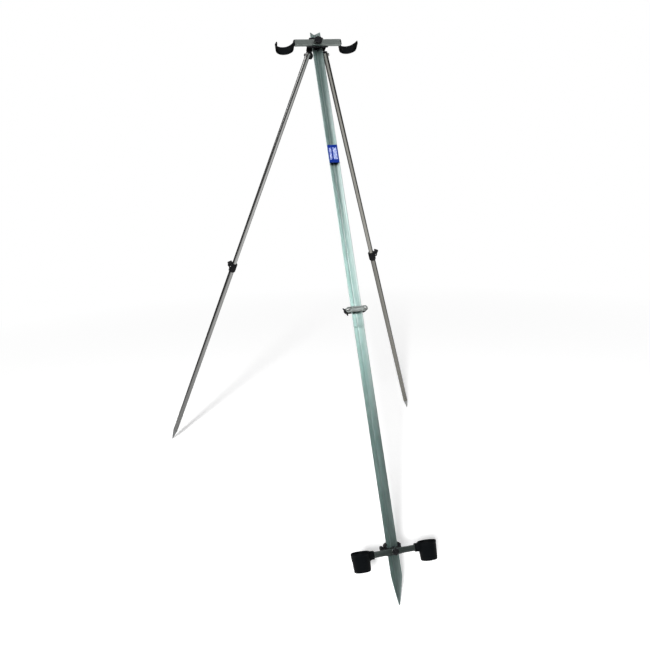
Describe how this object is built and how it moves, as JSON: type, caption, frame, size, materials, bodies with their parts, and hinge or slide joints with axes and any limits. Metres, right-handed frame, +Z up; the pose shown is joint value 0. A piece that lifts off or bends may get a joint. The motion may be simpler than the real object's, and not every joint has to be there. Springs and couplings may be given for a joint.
{
  "type": "beach fishing tripod rod rest",
  "caption": "Telescopic aluminium beach tripod with a trough-section main leg, two folding round side legs, U-shaped rod cups above and round butt cups below.",
  "frame": {"origin": "on the ground, straight below the top of the main leg", "axes": "+Z up; +X to the right of somebody facing the open side of the trough and the cups; -Y towards them, so the main leg's foot is at -Y and the side legs' feet are at +Y"},
  "size_m": [1.1822, 1.5186, 1.7003],
  "materials": {
    "upper_trough": "satin anodised, faintly green-grey",
    "lower_trough": "satin anodised, faintly green-grey",
    "badge_film": null,
    "side_upper_tube": "bright drawn tube",
    "side_lower_tube": "bright drawn tube",
    "head_moulding": "black glass-filled nylon, fine texture",
    "cup_moulding": "black flexible plastic, semi-matt",
    "butt_moulding": "black polypropylene, semi-matt",
    "cap_moulding": "black plastic",
    "collar_moulding": "black plastic",
    "lever_moulding": "black plastic, worn edges",
    "slider_moulding": "black glass-filled nylon",
    "knob_moulding": "black phenolic, slightly glossy",
    "bush_nylon": "natural nylon",
    "crossbar_metal": "satin extruded tube",
    "plate_steel": "zinc-plated, brushed",
    "zinc_steel": "bright zinc plate",
    "insert_brass": "turned",
    "spike_alloy": "turned point"
  },
  "bodies": {
    "head_and_upper_leg": {"main_leg_upper": "upper_trough", "badge": "badge_film", "head_bracket": "head_moulding", "head_plate": "head_moulding", "head_bolt": "zinc_steel", "leg_hinge_bolts": "zinc_steel", "leg_hinge_nuts": "zinc_steel", "leg_hinge_washers": "zinc_steel", "clamp_front_plate": "plate_steel", "clamp_back_saddle": "head_moulding", "clamp_bolts": "zinc_steel"},
    "lower_leg": {"main_leg_lower": "lower_trough"},
    "upper_bar": {"upper_crossbar": "crossbar_metal", "rod_cup_left": "cup_moulding", "rod_cup_right": "cup_moulding", "rod_cup_screws": "zinc_steel", "upper_washer": "zinc_steel"},
    "upper_bar_knob": {"upper_knob": "knob_moulding", "upper_knob_insert": "insert_brass"},
    "slider": {"slider_bracket": "slider_moulding", "crossbar_bolt": "zinc_steel"},
    "slider_thumbscrew": {"slider_screw": "zinc_steel", "slider_knob": "knob_moulding"},
    "lower_bar": {"lower_crossbar": "crossbar_metal", "butt_cup_left": "butt_moulding", "butt_cup_right": "butt_moulding", "butt_cup_screws": "zinc_steel", "lower_washer": "zinc_steel"},
    "lower_bar_knob": {"lower_knob": "knob_moulding", "lower_knob_insert": "insert_brass"},
    "clamp_nut_left": {"clamp_wing_nut_left": "knob_moulding"},
    "clamp_nut_right": {"clamp_wing_nut_right": "knob_moulding"},
    "side_leg_left": {"leg_cap_left": "cap_moulding", "side_leg_upper_left": "side_upper_tube", "guide_bush_left": "bush_nylon"},
    "side_leg_left_foot": {"side_leg_lower_left": "side_lower_tube", "lock_collar_left": "collar_moulding", "lock_pin_left": "zinc_steel", "foot_spike_left": "spike_alloy"},
    "lock_lever_left": {"lock_lever_left": "lever_moulding"},
    "side_leg_right": {"leg_cap_right": "cap_moulding", "side_leg_upper_right": "side_upper_tube", "guide_bush_right": "bush_nylon"},
    "side_leg_right_foot": {"side_leg_lower_right": "side_lower_tube", "lock_collar_right": "collar_moulding", "lock_pin_right": "zinc_steel", "foot_spike_right": "spike_alloy"},
    "lock_lever_right": {"lock_lever_right": "lever_moulding"}
  },
  "joints": [
    {"name": "lower_leg_slide", "type": "slide", "parent": "head_and_upper_leg", "child": "lower_leg", "axis": [0, 0.4157, 0.9095], "range_m": [0, 0.42]},
    {"name": "upper_bar_swivel", "type": "hinge", "parent": "head_and_upper_leg", "child": "upper_bar", "pos_m": [0, -0.01854, 1.65944], "axis": [0, -0.9095, 0.4157], "range_deg": [-30, 30]},
    {"name": "upper_knob_turn", "type": "hinge", "parent": "head_and_upper_leg", "child": "upper_bar_knob", "pos_m": [0, -0.01854, 1.65944], "axis": [0, -0.9095, 0.4157], "continuous": true},
    {"name": "slider_slide", "type": "slide", "parent": "lower_leg", "child": "slider", "axis": [0, 0.4157, 0.9095], "range_m": [0, 0.2]},
    {"name": "thumbscrew_turn", "type": "hinge", "parent": "slider", "child": "slider_thumbscrew", "pos_m": [-0.03, -0.69434, 0.1592], "axis": [-1, 0, 0], "continuous": true},
    {"name": "lower_bar_swivel", "type": "hinge", "parent": "slider", "child": "lower_bar", "pos_m": [0, -0.7071, 0.15293], "axis": [0, -0.9095, 0.4157], "range_deg": [-30, 30]},
    {"name": "lower_knob_turn", "type": "hinge", "parent": "slider", "child": "lower_bar_knob", "pos_m": [0, -0.7071, 0.15293], "axis": [0, -0.9095, 0.4157], "continuous": true},
    {"name": "clamp_nut_left_turn", "type": "hinge", "parent": "head_and_upper_leg", "child": "clamp_nut_left", "pos_m": [-0.0285, -0.37054, 0.81713], "axis": [0, -0.9095, 0.4157], "continuous": true},
    {"name": "clamp_nut_right_turn", "type": "hinge", "parent": "head_and_upper_leg", "child": "clamp_nut_right", "pos_m": [0.0285, -0.37054, 0.81713], "axis": [0, -0.9095, 0.4157], "continuous": true},
    {"name": "side_leg_left_fold", "type": "hinge", "parent": "head_and_upper_leg", "child": "side_leg_left", "pos_m": [-0.031, -0.0095, 1.62628], "axis": [-0.9264, -0.3425, 0.1566], "range_deg": [0, 49]},
    {"name": "side_leg_left_slide", "type": "slide", "parent": "side_leg_left", "child": "side_leg_left_foot", "axis": [0.2968, -0.4082, 0.8633], "range_m": [0, 0.75]},
    {"name": "lock_lever_left_flip", "type": "hinge", "parent": "side_leg_left_foot", "child": "lock_lever_left", "pos_m": [-0.30559, 0.34066, 0.87618], "axis": [0.2318, -0.8462, -0.4799], "range_deg": [0, 80]},
    {"name": "side_leg_right_fold", "type": "hinge", "parent": "head_and_upper_leg", "child": "side_leg_right", "pos_m": [0.031, -0.0095, 1.62628], "axis": [-0.9264, 0.3425, -0.1566], "range_deg": [0, 49]},
    {"name": "side_leg_right_slide", "type": "slide", "parent": "side_leg_right", "child": "side_leg_right_foot", "axis": [-0.2968, -0.4082, 0.8633], "range_m": [0, 0.75]},
    {"name": "lock_lever_right_flip", "type": "hinge", "parent": "side_leg_right_foot", "child": "lock_lever_right", "pos_m": [0.30559, 0.34066, 0.87618], "axis": [0.2318, 0.8462, 0.4799], "range_deg": [0, 80]}
  ]
}
